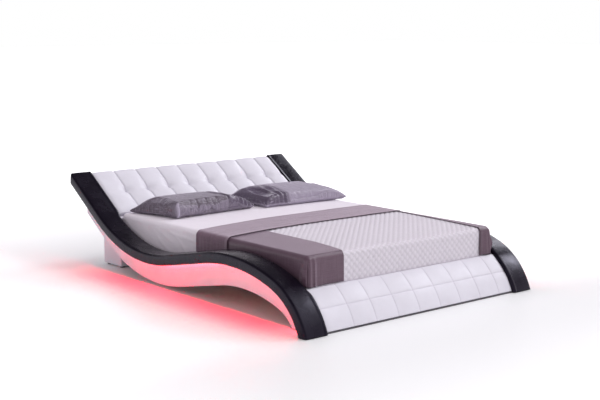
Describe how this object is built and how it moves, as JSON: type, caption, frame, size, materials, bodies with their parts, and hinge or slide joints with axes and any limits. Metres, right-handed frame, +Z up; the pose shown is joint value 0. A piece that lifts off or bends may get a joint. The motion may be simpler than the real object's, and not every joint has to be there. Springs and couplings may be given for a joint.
{
  "type": "leather bed",
  "caption": "Low upholstered double bed with wave-shaped black side rails, a sloping tufted headboard, a curved footboard, light strips, a mattress, bedding and pillows.",
  "frame": {"origin": "on the floor, below the middle of the bed's overall box", "axes": "+Z up, +Y from the foot end to the head end, +X to the right seen from the foot end"},
  "size_m": [1.95, 2.6004, 0.6748],
  "materials": {
    "black_leather": "smooth satin black leather, soft highlights",
    "white_leather": "smooth satin white leather with a faint violet cast",
    "timber": "planed softwood, unfinished",
    "plywood": "sanded plywood, unfinished",
    "black_steel": "black powder coat",
    "black_plastic": "matt black plastic",
    "aluminium": "plain extruded aluminium",
    "diffuser": "lit translucent strip, red light",
    "mattress_cloth": "white quilted knit",
    "sheet_cloth": "fine pale violet-white cotton",
    "cover_cloth": "brown-grey satin weave",
    "pillow_cloth": "grey-violet slub weave with paler satin"
  },
  "bodies": {
    "bed": {"rail_cover_left": "black_leather", "rail_cover_right": "black_leather", "rail_core_left": "timber", "rail_core_right": "timber", "side_board_left": "plywood", "side_board_right": "plywood", "valance_left": "white_leather", "valance_right": "white_leather", "light_channel_left": "aluminium", "light_channel_right": "aluminium", "light_strip_left": "diffuser", "light_strip_right": "diffuser", "foot_felt_left": "black_plastic", "foot_felt_right": "black_plastic", "headboard_pad": "white_leather", "headboard_shell": "plywood", "headboard_back": "black_leather", "footboard_pad": "white_leather", "footboard_shell": "plywood", "footboard_trim": "black_plastic", "foot_crossbar": "timber", "head_crossbar": "timber", "slat_ledge_left": "timber", "slat_ledge_right": "timber", "centre_beam": "black_steel", "centre_leg_1": "black_steel", "centre_leg_2": "black_steel", "centre_leg_3": "black_steel", "slat_01": "timber", "slat_02": "timber", "slat_03": "timber", "slat_04": "timber", "slat_05": "timber", "slat_06": "timber", "slat_07": "timber", "slat_08": "timber", "slat_09": "timber", "slat_10": "timber", "slat_11": "timber", "slat_12": "timber", "slat_13": "timber", "rear_leg_left": "white_leather", "rear_leg_right": "white_leather", "glide_left_front": "black_plastic", "glide_left_back": "black_plastic", "glide_right_front": "black_plastic", "glide_right_back": "black_plastic", "light_driver": "black_plastic", "mattress": "mattress_cloth", "sheet": "sheet_cloth", "cover_band": "cover_cloth", "cover_side_left": "cover_cloth", "cover_side_right": "cover_cloth", "pillow_left": "pillow_cloth", "pillow_right": "pillow_cloth"},
    "levelling_foot_1": {"screw_foot_1": "black_plastic"},
    "levelling_foot_2": {"screw_foot_2": "black_plastic"},
    "levelling_foot_3": {"screw_foot_3": "black_plastic"}
  },
  "joints": [
    {"name": "foot_travel_1", "type": "slide", "parent": "bed", "child": "levelling_foot_1", "axis": [0, 0, -1], "range_m": [0, 0.02]},
    {"name": "foot_travel_2", "type": "slide", "parent": "bed", "child": "levelling_foot_2", "axis": [0, 0, -1], "range_m": [0, 0.02]},
    {"name": "foot_travel_3", "type": "slide", "parent": "bed", "child": "levelling_foot_3", "axis": [0, 0, -1], "range_m": [0, 0.02]}
  ]
}
